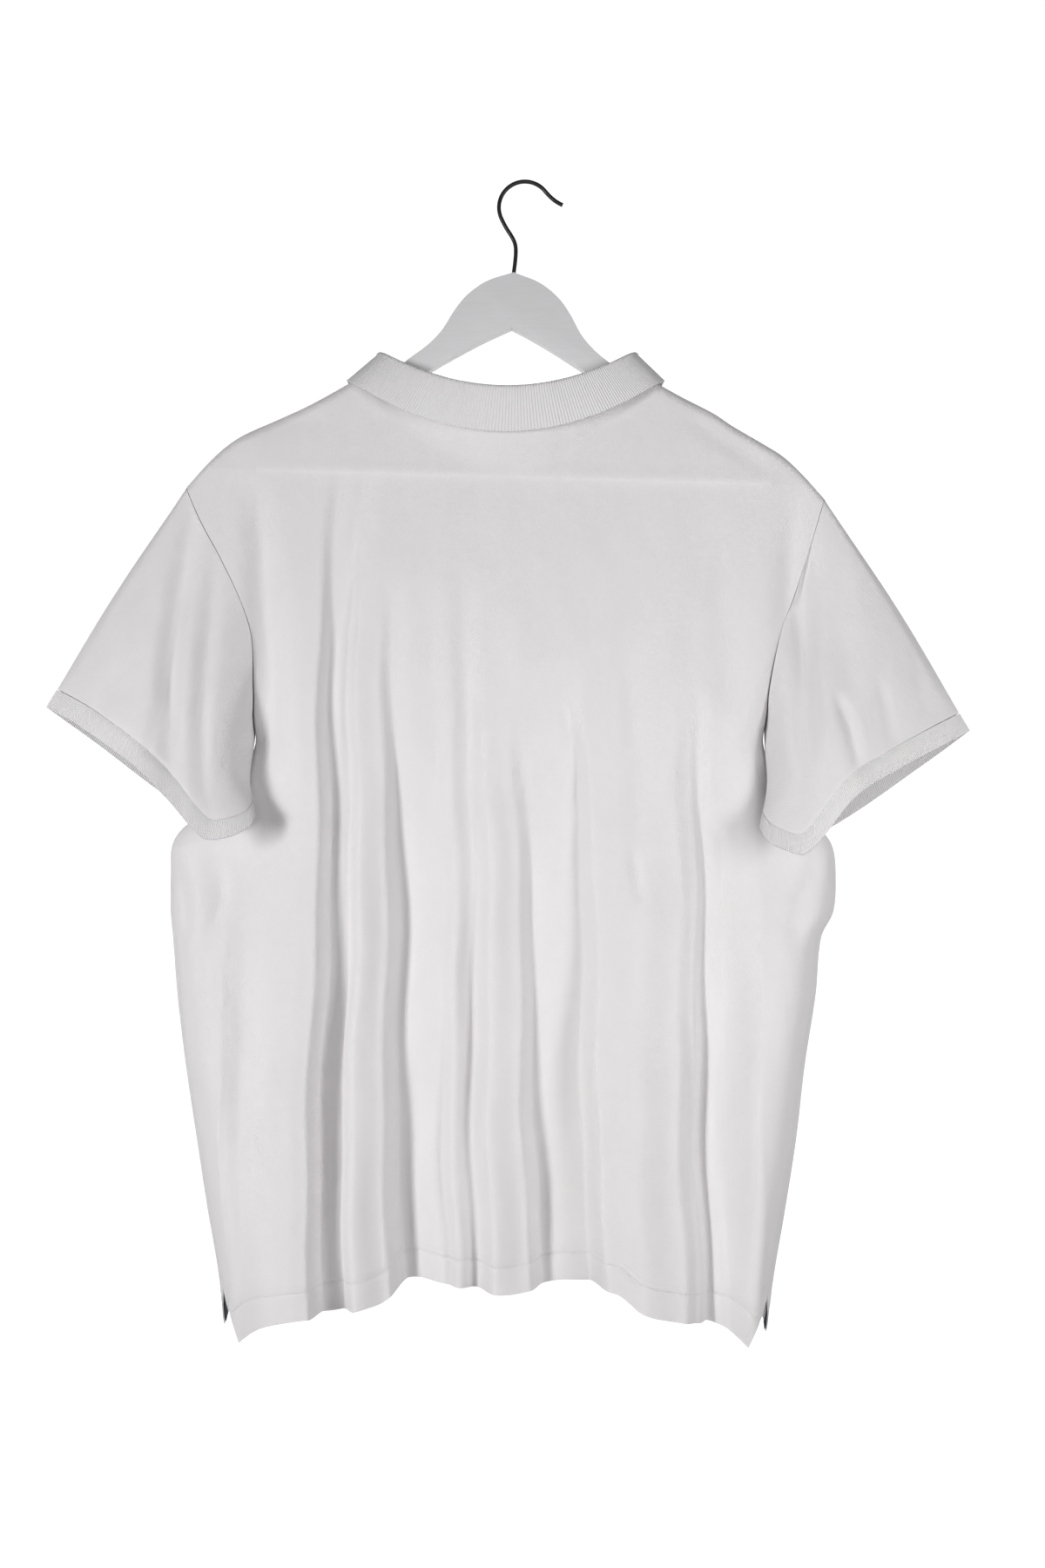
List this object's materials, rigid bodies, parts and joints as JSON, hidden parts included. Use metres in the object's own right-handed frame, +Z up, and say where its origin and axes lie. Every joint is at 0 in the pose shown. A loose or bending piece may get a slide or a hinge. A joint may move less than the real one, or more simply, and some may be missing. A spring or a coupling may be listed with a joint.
{
  "type": "polo shirt on a hanger",
  "caption": "Short-sleeved pique polo shirt with rib collar and cuffs, hanging from a flat wooden hanger with a trouser bar and wire hook.",
  "frame": {"origin": "inner top of the hook, where it rests on the rail", "axes": "+Z up, +Y from the shirt's back towards its front, +X to the right seen from the shirt's back, which is the side in the picture"},
  "size_m": [0.7584, 0.1344, 0.9586],
  "materials": {
    "pique": "off-white cotton pique knit",
    "rib": "off-white cotton rib knit",
    "tape": "dark navy woven tape",
    "button": "white, satin",
    "wood": "white satin paint",
    "wire": "black"
  },
  "bodies": {
    "root": {"back_panel": "pique", "front_panel": "pique", "sleeve_left": "pique", "sleeve_right": "pique", "cuff_left": "rib", "cuff_right": "rib", "collar": "rib", "neck_tape": "tape", "vent_tape_left_back": "tape", "vent_tape_left_front": "tape", "vent_tape_right_back": "tape", "vent_tape_right_front": "tape", "placket_upper": "pique", "placket_under": "pique", "button_1": "button", "button_2": "button", "button_3": "button", "hanger_wood": "wood", "hanger_bar": "wood", "hanger_hook": "wire"}
  },
  "joints": []
}
